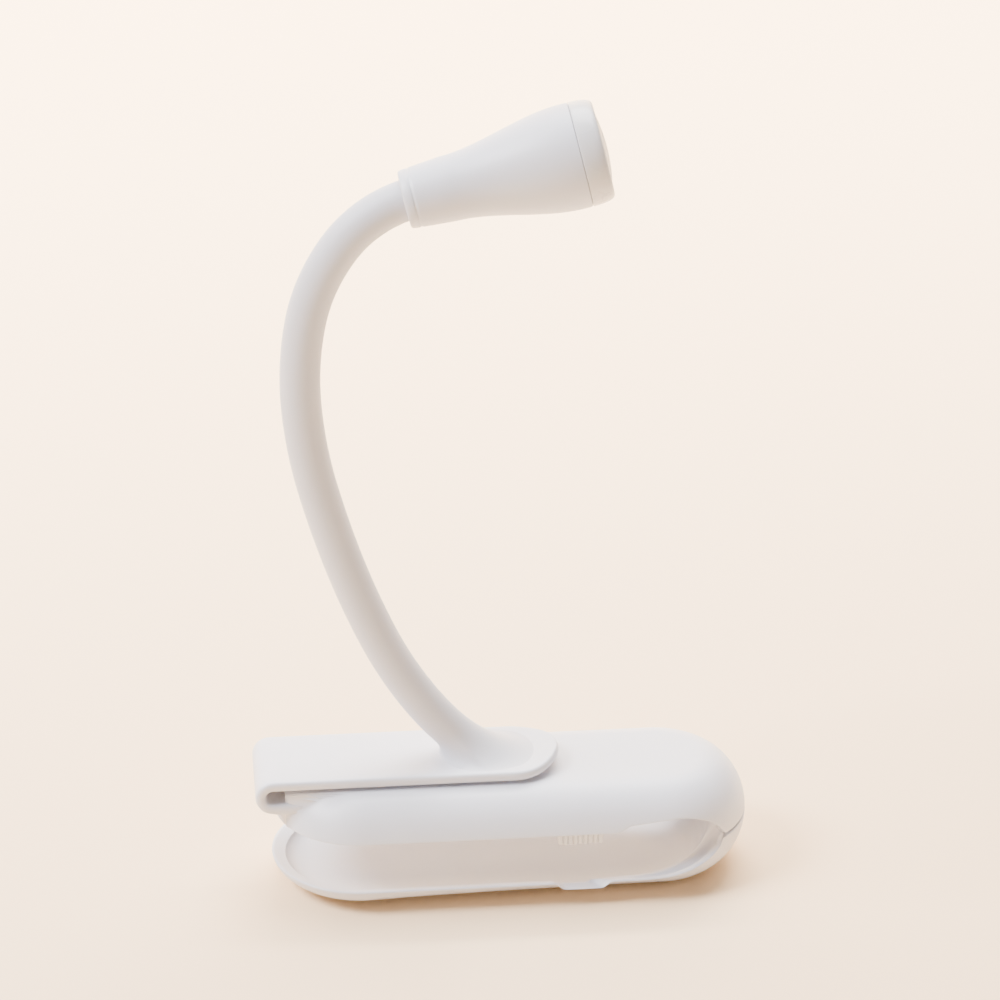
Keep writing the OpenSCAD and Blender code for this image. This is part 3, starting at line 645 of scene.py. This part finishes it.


# %% [markdown]
# ## The belt clip
# The clip is one springy strap: its root is plugged into the housing's end, it turns back in a U and
# ends in a round tongue that curls up a little. A rounded bar is swept along its side view, and
# made narrower towards the tip. The skin is baked where it stands and rides no body.


# %% The strap
STRAP_T = 2.0
STRAP_HALF = CLIP_HIGH[1]
STRAP_MID = CLIP_LOW[2] + STRAP_T / 2
BEND_R = STRAP_MID - BEND_Z
TIP_X = CLIP_HIGH[0]
ROUND_X = TIP_X - STRAP_HALF
ROOT_X = corners("clip_root")[1][0]
ROOT_LOW, ROOT_HIGH = corners("clip_root")[0][2], corners("clip_root")[1][2]


def strap_path():
    """(x, z, heading, half width, thickness) along the strap, from its root to its tip."""
    root_z = (ROOT_LOW + ROOT_HIGH) / 2
    root_t = ROOT_HIGH - ROOT_LOW
    steps = [(mix(ROOT_X, BEND_X, t), root_z, 180, STRAP_HALF, root_t) for t in (0, 0.25, 0.5, 0.75, 0.93)]
    for i in range(19):
        a = 270 - 180 * i / 18
        x = BEND_X + BEND_R * math.cos(math.radians(a))
        z = BEND_Z + BEND_R * math.sin(math.radians(a))
        steps.append((x, z, a - 90, STRAP_HALF, mix(root_t, STRAP_T, min(1, i / 6))))
    start = ROUND_X + 1.5
    steps += [(x, STRAP_MID, 0, STRAP_HALF, STRAP_T) for x in spread(BEND_X + 1.6, ROUND_X, 30)]
    curl = ((STRAP_HALF - 1.5) ** 2 + 1.8 ** 2) / (2 * 1.8)
    reach = STRAP_HALF - 0.02
    for i in range(33):
        d = reach * math.sin(math.radians(90 * i / 32))
        x = ROUND_X + d
        bend = math.asin(min(1, max(0, x - start) / curl))
        rise = curl * (1 - math.cos(bend))
        half = math.sqrt(max(STRAP_HALF ** 2 - d * d, 0.0005))
        thin = STRAP_T * (1 - 0.22 * smooth_step((x - start) / 8))
        thin *= min(1, 0.34 + 0.66 * math.sqrt(min(1, (STRAP_HALF - d) / 0.75)))
        steps.append((x, STRAP_MID + rise * 0.93, math.degrees(bend), half, thin))
    return steps


def strap_ring(x, z, heading, half, thick):
    """A rounded bar's section, square to the heading."""
    soft = min(0.75, thick / 2 * 0.92, half * 0.9)
    across = []
    flat = half - soft
    for side in (1, -1):
        for i in range(7):
            a = math.radians(90 - 180 * i / 6) if side > 0 else math.radians(-90 - 180 * i / 6)
            y = side * flat + soft * math.cos(a)
            h = (thick / 2 - soft) * (1 if math.sin(a) > 1e-6 else -1 if math.sin(a) < -1e-6 else 0)
            across.append((y, h + soft * math.sin(a)))
        for i in range(1, 12):
            across.append((side * flat * (1 - 2 * i / 12), -side * thick / 2))
    h = math.radians(heading)
    up = (-math.sin(h), math.cos(h))
    return [(x + up[0] * v, y, z + up[1] * v) for y, v in across]


strap = loft("belt_clip", [strap_ring(*step) for step in strap_path()], 40)
dress(strap, None, SHELL, ["clip_root", "clip_bend", "clip_tongue"])
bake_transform(strap)


# %% [markdown]
# ## The gooseneck's line
# The neck is a chain of short arcs, each tangent to the one before, with a joint between every two.
# A point on it is found by its distance from the clip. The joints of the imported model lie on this
# line, and the cell prints how close they are.


# %% The line
TURNS = [-15.5, -11.5, -5.5, -4.5, -10, -15, -26, -39.5]
LENGTHS = [16] + [17] * 7
START = 141.0
FOOT = Vector((ROUND_X - 6.1, 0, STRAP_MID + STRAP_T / 2))
NECK_R = 3.8
CORE_BORE = 1.4
KNOTS = [0]
for length in LENGTHS:
    KNOTS.append(KNOTS[-1] + length)


def neck_point(s):
    """Place and heading, in degrees, at distance s from the clip."""
    place, heading, left = FOOT.copy(), START, s
    for i, (turn, length) in enumerate(zip(TURNS, LENGTHS)):
        part = left if i == len(TURNS) - 1 else min(left, length)
        b = heading + turn * part / length
        r = length / math.radians(abs(turn))
        a1, a2 = math.radians(heading - 90), math.radians(b - 90)
        place = place + r * Vector((math.cos(a1) - math.cos(a2), 0, math.sin(a1) - math.sin(a2)))
        heading, left = b, left - part
        if left <= 0:
            break
    return place, heading


miss = max((neck_point(KNOTS[i])[0] - joint_at(f"neck_bend_{i}")).length for i in range(1, 8))
print(f"joints lie within {miss:.3f} mm of the line")


def neck_frame(s):
    place, heading = neck_point(s)
    return Matrix.Translation(place) @ Matrix.Rotation(math.radians(90 - heading), 4, "Y")


# %% [markdown]
# ## The sleeve
# One soft sleeve covers the neck. It is cut where nothing bends, in the middle of each stretch, so
# that each piece covers one joint. Each piece is baked where it stands and rides no body.


# %% Sleeve, core and wires across each joint
MIDDLE = [(KNOTS[i] + KNOTS[i + 1]) / 2 for i in range(8)]
HEAD_S = KNOTS[-1]


def tube(name, s0, s1, outer, inner, step, segments, sharp=50):
    """A tube along the neck. outer is a radius, or a function that gives it from the distance."""
    count = max(2, round((s1 - s0) / step))
    stations = [s0 + (s1 - s0) * i / count for i in range(count + 1)]
    wanted = outer if callable(outer) else (lambda s: outer)

    def ring(s, r):
        turn = neck_frame(s)
        return [turn @ Vector((r * math.cos(2 * math.pi * k / segments),
                               r * math.sin(2 * math.pi * k / segments), 0)) for k in range(segments)]

    rings = [ring(s, wanted(s)) for s in stations] + [ring(s, inner) for s in reversed(stations[::3] + (
        [stations[-1]] if (len(stations) - 1) % 3 else []))]
    return loft(name, rings, sharp, wrap=True)


def across_joint(piece, i):
    """Bakes the piece's place into its mesh. The points 5 mm either side of joint i are worked out but not
    used.
    """
    tuple(neck_point(KNOTS[i] - 5)[0] * MM)
    tuple(neck_point(KNOTS[i] + 5)[0] * MM)
    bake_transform(piece)


def wire_pair(name, stations, radius, sides=8):
    """Two thin wires side by side along the neck."""
    points, faces = [], []
    for offset in (-0.4, 0.4):
        base = len(points)
        for s in stations:
            turn = neck_frame(s)
            for k in range(sides):
                a = 2 * math.pi * k / sides
                points.append(turn @ Vector((radius * math.cos(a), offset + radius * math.sin(a), 0)))
        for j in range(len(stations) - 1):
            for k in range(sides):
                n = (k + 1) % sides
                faces.append([base + j * sides + k, base + j * sides + n, base + (j + 1) * sides + n,
                              base + (j + 1) * sides + k])
        faces.append([base + k for k in range(sides)][::-1])
        faces.append([base + (len(stations) - 1) * sides + k for k in range(sides)])
    return make_piece(name, points, faces, 60)


def wound(s):
    """Radius of the core, with the crest of each turn of its wire."""
    return 2.2 + 0.1 * math.cos(2 * math.pi * s / 1.2)


for i in range(1, 8):
    s0, s1 = MIDDLE[i - 1], (MIDDLE[i] if i < 7 else HEAD_S)
    sleeve = tube(f"sleeve_{i}", s0, s1, NECK_R, 2.5, 0.5, 48)
    dress(sleeve, None, SLEEVE, [f"neck_sleeve_{i}"])
    across_joint(sleeve, i)
    core = tube(f"core_{i}", s0, s1, wound, CORE_BORE, 0.3, 20, 80)
    dress(core, None, SPRING, ["neck_core"])
    across_joint(core, i)
    stations = [s0 + (s1 - s0) * j / 10 for j in range(11)]
    leads = wire_pair(f"leads_{i}", stations, 0.3)
    dress(leads, None, RED, ["lead_wires"])
    across_joint(leads, i)


# %% [markdown]
# ## The sleeve's root
# The sleeve grows out of the clip in a smooth flare. Each line up its side starts flat on the strap
# and bends up into the tube: a Hermite curve does that, because it takes the direction at both ends.
# The flare is short behind the neck and runs on towards the strap's tip in front of it. The core's foot
# and the two wires that come up from the board are hidden inside.


# %% The flare
FOOT_BACK, FOOT_AHEAD, FOOT_HALF_Y = 8.0, 13.0, 8.4
FOOT_X = FOOT.x
FLARE_TOP = 8.0


def hermite(p0, m0, p1, m1, t):
    t2, t3 = t * t, t * t * t
    return p0 * (2 * t3 - 3 * t2 + 1) + m0 * (t3 - 2 * t2 + t) + p1 * (3 * t2 - 2 * t3) + m1 * (t3 - t2)


def flare_line(k, segments, steps=16):
    a = 2 * math.pi * k / segments
    turn = neck_frame(FLARE_TOP)
    end = turn @ Vector((NECK_R * math.cos(a), NECK_R * math.sin(a), 0))
    way = (turn.to_3x3() @ Vector((0, 0, 1))).normalized()
    half_x = FOOT_AHEAD if math.cos(a) > 0 else FOOT_BACK
    foot = Vector((FOOT_X + half_x * math.cos(a), FOOT_HALF_Y * math.sin(a), FOOT.z - 0.02))
    inward = Vector((end.x - foot.x, end.y - foot.y, 0))
    if math.cos(a) < 0:
        inward = Vector((FOOT_X - 3 - foot.x, -foot.y, 0))
    reach = (end - foot).length
    return [hermite(foot, inward.normalized() * reach * 0.9, end, way * reach * 1.1, i / steps)
            for i in range(steps + 1)]


def build_root():
    segments = 48
    lines = [flare_line(k, segments) for k in range(segments)]
    rings = [[line[0] - Vector((0, 0, 0.35)) for line in lines]]
    rings += [[line[i] for line in lines] for i in range(len(lines[0]))]
    upper = [FLARE_TOP + (MIDDLE[0] - FLARE_TOP) * t for t in (0.5, 1.0)]
    for s in upper:
        turn = neck_frame(s)
        rings.append([turn @ Vector((NECK_R * math.cos(2 * math.pi * k / segments),
                                     NECK_R * math.sin(2 * math.pi * k / segments), 0))
                      for k in range(segments)])
    return loft("sleeve_root", rings, 50)


dress(build_root(), "clip", SLEEVE, ["neck_root"])


# %% The core's foot and the wires from the board
def wire_line(side):
    """The way of one wire: off the board, round the strap's U inside its channel, and up the neck."""
    board = corners("circuit_board")[0]
    y = side * 0.4
    root_z = (ROOT_LOW + ROOT_HIGH) / 2
    way = [(board[0] + 1.2, 10 + y, board[2] - 0.35), (board[0] - 2, 11.5 + y, board[2] - 0.4),
           (-HALF_L + 18, 11.5 + y, board[2] - 0.4), (-HALF_L + 14.6, 8 + y, board[2] - 0.2),
           (-HALF_L + 11.4, 3 + side * 0.3, root_z), (ROOT_X + 1.6, y, root_z), (BEND_X + 3, y, root_z)]
    for i in range(13):
        a = math.radians(270 - 180 * i / 12)
        way.append((BEND_X + BEND_R * math.cos(a), y, BEND_Z + BEND_R * math.sin(a)))
    way += [(BEND_X + 4, y, STRAP_MID), (FOOT.x - 4, y, STRAP_MID), (FOOT.x - 0.9, y, STRAP_MID + 0.2)]
    way += [tuple(neck_point(s)[0] + Vector((0, y, 0))) for s in (1.9, 3.5, 5, 6.5, MIDDLE[0])]
    return [Vector(p) for p in way]


def round_wire(line, radius, sides=8):
    """Rings square to the line, each turned as little as it can be from the one before."""
    rings, normal = [], Vector((0.1, 0.2, 1)).normalized()
    for i, place in enumerate(line):
        way = (line[min(i + 1, len(line) - 1)] - line[max(i - 1, 0)]).normalized()
        normal = (normal - way * normal.dot(way)).normalized()
        other = way.cross(normal)
        rings.append([place + radius * (normal * math.cos(2 * math.pi * k / sides)
                                        + other * math.sin(2 * math.pi * k / sides)) for k in range(sides)])
    return rings


for side, tag in ((-1, "near"), (1, "far")):
    lead = loft(f"board_lead_{tag}", round_wire(wire_line(side), 0.3), 60)
    dress(lead, None, RED, ["lead_wires"])
    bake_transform(lead)
foot = tube("core_foot", 4, MIDDLE[0], wound, CORE_BORE, 0.3, 20, 80)
dress(foot, "clip", SPRING, ["neck_core"])


# %% [markdown]
# ## The head
# The head is a turned shape: a straight collar over the sleeve, a soft S that swells to the bezel, a
# fine parting line, the bezel ring and a domed frosted lens. Every part is one lathe profile on the
# neck's last direction.


# %% Head profiles
HEAD_IN = 2.3           # how far the sleeve enters the head
HEAD_PLACE = neck_frame(HEAD_S) @ Matrix.Translation((0, 0, -HEAD_IN))
HEAD_L, BEZEL_L = 37.4, 4.5
BACK_R, FRONT_R = 5.4, 9.7
COLLAR_L, COLLAR_SWELL = 8.0, 0.65
BELL_END = HEAD_L - BEZEL_L
HEAD_WALL = 1.3
REFLECTOR_IN = 9.5      # how far the reflector reaches behind the bezel


def bell_r(s):
    swell = smooth_step((s - COLLAR_L) / (BELL_END - COLLAR_L - 1.5))
    return BACK_R + COLLAR_SWELL * min(1, s / COLLAR_L) + (FRONT_R - BACK_R - COLLAR_SWELL) * swell


def head_shell():
    body = spread(1.0, BELL_END - 0.3, 40)
    outer = [(0.0, BACK_R - 0.95), (0.0, BACK_R - 0.45), (0.1, BACK_R - 0.2), (0.35, BACK_R - 0.03)]
    outer += [(s, bell_r(s)) for s in body]
    bead = 1.9
    outer += [(s, bell_r(s)) for s in (1.5, 1.65, 1.8, 2.0, 2.15, 2.3)]
    outer = [(s, r - 0.16 * math.exp(-((s - bead) / 0.2) ** 2)) for s, r in sorted(outer)]
    outer += [(BELL_END - 0.12, FRONT_R - 0.02), (BELL_END, FRONT_R - 0.14)]
    inner = [(BELL_END, FRONT_R - HEAD_WALL)]
    inner += [(s, bell_r(s) - HEAD_WALL) for s in reversed(spread(8.0, BELL_END - 0.5, 20))]
    inner += [(7.6, 1.4), (6.2, 1.4), (6.2, 3.3), (2.5, 3.3), (2.5, 4.05), (0.3, 4.05)]
    return lathe("head_bell", outer + inner, HEAD_PLACE, ring=True)


def bezel():
    z = BELL_END + 0.08
    r = FRONT_R
    reach = BEZEL_L - 0.2
    rounding = [(0.24, 0.02), (0.44, 0.08), (0.62, 0.19), (0.76, 0.33), (0.87, 0.52), (0.95, 0.78),
                (0.99, 1.1), (1.0, 1.42), (0.98, 1.75), (0.92, 1.95)]
    profile = [(z, r - 1.5), (z, r - 0.14), (z + 0.12, r - 0.02), (z + 0.3, r)]
    profile += [(z + reach * share, r - draw) for share, draw in rounding]
    seat = z + BEZEL_L - 2
    profile += [(seat, r - 2.0), (seat, r - 2.6), (z - 3.4, r - 2.6),
                (z - 3.4, bell_r(BELL_END - 3.3) - 1.45)]
    return lathe("bezel_ring", profile, HEAD_PLACE, ring=True)


def lens():
    r = FRONT_R - 2.05
    z = HEAD_L - 1.85
    front = [(z + 1.5 + 0.95 * (1 - (k / 12) ** 2), r * k / 12) for k in range(1, 13)]
    profile = [(z, r * k / 8) for k in range(1, 9)] + [(z + 0.3, r + 0.02), (z + 1.35, r + 0.02)]
    return lathe("front_lens", profile + [(s, q - (0.12 if q == r else 0)) for s, q in reversed(front)],
                 HEAD_PLACE)


dress(head_shell(), "head", SHELL, ["head_shell"])
dress(bezel(), "head", RING, ["head_bezel"])
dress(lens(), "head", LENS, ["head_lens"])


# %% Reflector
def reflector():
    z = BELL_END - REFLECTOR_IN
    r1 = FRONT_R - 2.75
    length = REFLECTOR_IN + BEZEL_L - 2.0
    inside = [(z + length * (k / 24), 2.4 + (r1 - 3) * math.sqrt(k / 24)) for k in range(25)]
    outside = [(s, r + 0.55) for s, r in reversed(inside)]
    return lathe("reflector_cup", inside + outside, HEAD_PLACE, ring=True)


dress(reflector(), "head", MIRROR, ["reflector"])


# %% [markdown]
# ## The switch knob
# The knob is a small comb: nine round ribs that a fingernail catches, with a bar that reaches back
# under the housing and a stem that goes up into the switch. The comb's outline is drawn once from
# above, each rib a half circle, and extruded with softened ends. The bar and stem are softened blocks.


# %% The knob
def knob():
    low, high = corners("switch_knob")
    ribs = 9
    pitch = (high[0] - low[0]) / ribs
    front = low[1]
    outline = []
    for i in range(ribs):
        centre = low[0] + pitch * (i + 0.5)
        for a in spread(180, 372, 8):
            outline.append((centre + pitch * 0.46 * math.cos(math.radians(a)),
                            front + pitch * 0.5 + pitch * 0.5 * math.sin(math.radians(a))))
    outline += [(high[0], front + 2.2), (low[0], front + 2.2)]
    middle_x = (low[0] + high[0]) / 2
    z0, z1 = low[2], EDGE_Z - 0.35

    def ring(z, draw):
        squeeze = 1 - draw * 0.06
        return [(middle_x + (x - middle_x) * squeeze, y + (0.35 * draw if y < front + 1 else 0), z)
                for x, y in outline]

    rings = [ring(z0, 1), ring(z0 + 0.1, 0.35), ring(z0 + 0.28, 0)]
    rings += [ring(z1 - 0.28, 0), ring(z1 - 0.1, 0.35), ring(z1, 1)]
    return loft("switch_grip", rings, 30)


dress(knob(), "switch", KNOB, ["switch_knob"])


# %% The knob's bar and stem
def soft_block(name, low, high, soft=0.12):
    """A block with softened edges, standing on its low face."""
    def ring(z, draw):
        x0, y0, x1, y1 = low[0] + draw, low[1] + draw, high[0] - draw, high[1] - draw
        c = soft
        return [(x0 + c, y0, z), (x1 - c, y0, z), (x1, y0 + c, z), (x1, y1 - c, z), (x1 - c, y1, z),
                (x0 + c, y1, z), (x0, y1 - c, z), (x0, y0 + c, z)]
    return loft(name, [ring(low[2], soft), ring(low[2] + soft, 0), ring(high[2] - soft, 0),
                       ring(high[2], soft)])


KNOB_LOW, KNOB_HIGH = corners("switch_knob")
KNOB_MID = (KNOB_LOW[0] + KNOB_HIGH[0]) / 2
STEM_Y = KNOB_HIGH[1] - 1.5
bar = soft_block("switch_bar", (KNOB_LOW[0], KNOB_LOW[1] + 2.1, EDGE_Z - 0.93),
                 (KNOB_HIGH[0], KNOB_HIGH[1], EDGE_Z - 0.36))
stem = soft_block("switch_stem", (KNOB_MID - 0.9, STEM_Y - 0.9, EDGE_Z - 0.4),
                  (KNOB_MID + 0.9, STEM_Y + 0.9, KNOB_HIGH[2]))
for part in (bar, stem):
    dress(part, "switch", KNOB, ["switch_knob"])

# %% [markdown]
# ## What keeps its shape
# The inner parts are already right, so they only get a finish.

# %% Finishes for the inner parts
INNER = {"housing_cover": SHELL, "battery_door": SHELL, "switch_body": BLACK,
         "circuit_board": BOARD, "led_board": BOARD, "led_emitter": PHOSPHOR, "button_cells": CELL,
         "cell_contact_top": STRIP, "cell_contact_springs": STRIP, "cover_screws": STEEL,
         "door_screw": STEEL, "hinge_pin": STEEL, "neck_anchor": STEEL, "head_ferrule": STEEL,
         "jaw_spring": SPRING}
for name, finish in INNER.items():
    node = frame["nodes"][name]
    node.data.materials.clear()
    node.data.materials.append(finish)
print("inner parts finished:", len(INNER))

# %% [markdown]
# ## Floor, light and camera
# The lamp stands on a pale warm floor that curves up behind it. The main soft light is high on the
# left and a second is overhead. Two weak ones lift the front and the right side, and one behind lights
# only the backdrop, so that the white shells stand out against it and keep their shape.


# %% The floor
FLOOR_REACH = 6000      # far enough that no low view sees its edge
SWEEP_R = 500           # the curve between the floor and the wall behind


def build_floor():
    points = []
    bends = [math.radians(a) for a in range(10, 91, 10)]
    profile = [(-FLOOR_REACH, 0), (700, 0)]
    profile += [(700 + SWEEP_R * math.sin(a), SWEEP_R - SWEEP_R * math.cos(a)) for a in bends]
    profile += [(1200, 1800)]
    for x in (-FLOOR_REACH, FLOOR_REACH):
        points += [(x, y, z) for y, z in profile]
    n = len(profile)
    faces = [[i, i + 1, n + i + 1, n + i] for i in range(n - 1)]
    return make_piece("floor", points, faces)


def floor_finish():
    material, tree, shader = plain_shader("warm_paper")
    tone = place_group(tree, TONE, Base=(0.98, 0.73, 0.47, 1), Deep=(0.97, 0.72, 0.46, 1),
                       Amount=0.5, Scale=3.0)
    tree.links.new(tone.outputs["Color"], shader.inputs["Base Color"])
    shader.inputs["Roughness"].default_value = 0.9
    return material


floor = build_floor()
floor.data.materials.append(floor_finish())


# %% Lights
def softbox(name, place, target, size, power, colour):
    data = bpy.data.lights.new(name, "AREA")
    data.shape = "RECTANGLE"
    data.size, data.size_y = size
    data.energy = power
    data.color = colour
    light = bpy.data.objects.new(name, data)
    light.location = Vector(place)
    light.rotation_euler = (Vector(target) - Vector(place)).to_track_quat("-Z", "Y").to_euler()
    bpy.context.scene.collection.objects.link(light)


softbox("key", (-0.85, -0.12, 0.95), (0, 0, 0.06), (0.5, 0.5), 38, (0.97, 0.97, 1.0))
softbox("front_fill", (0.1, -1.1, 0.45), (0, 0, 0.04), (1.0, 0.7), 1.6, (0.97, 0.97, 1.0))
softbox("warm_side", (0.9, -0.3, 0.3), (0, 0, 0.06), (0.6, 0.6), 1.4, (1.0, 0.90, 0.80))
softbox("top", (0.1, 0.45, 1.1), (0, 0.1, 0.0), (0.8, 0.8), 30, (1.0, 0.98, 0.97))
softbox("backdrop", (0, 0.45, 0.7), (0, 1.1, 0.1), (1.4, 0.5), 62, (1.0, 0.95, 0.88))
world = bpy.data.worlds.new("studio")
world.use_nodes = True
world.node_tree.nodes["Background"].inputs["Color"].default_value = (1.0, 0.95, 0.89, 1)
world.node_tree.nodes["Background"].inputs["Strength"].default_value = 0.2
bpy.context.scene.world = world

# %% The camera
LOOK_AT = Vector((-0.0017, 0, 0.070))
RANGE = 0.760
TURN, DOWN = math.radians(5.2), math.radians(27.5)
camera_data = bpy.data.cameras.new("view")
camera_data.lens = 144
camera_data.sensor_width = 36
camera_data.shift_y = 0.0482
camera_data.clip_start = 0.01
camera = bpy.data.objects.new("view", camera_data)
look = Vector((math.sin(TURN) * math.cos(DOWN), math.cos(TURN) * math.cos(DOWN), -math.sin(DOWN)))
camera.location = LOOK_AT - look * RANGE
camera.rotation_euler = look.to_track_quat("-Z", "Y").to_euler()
bpy.context.scene.collection.objects.link(camera)
bpy.context.scene.camera = camera
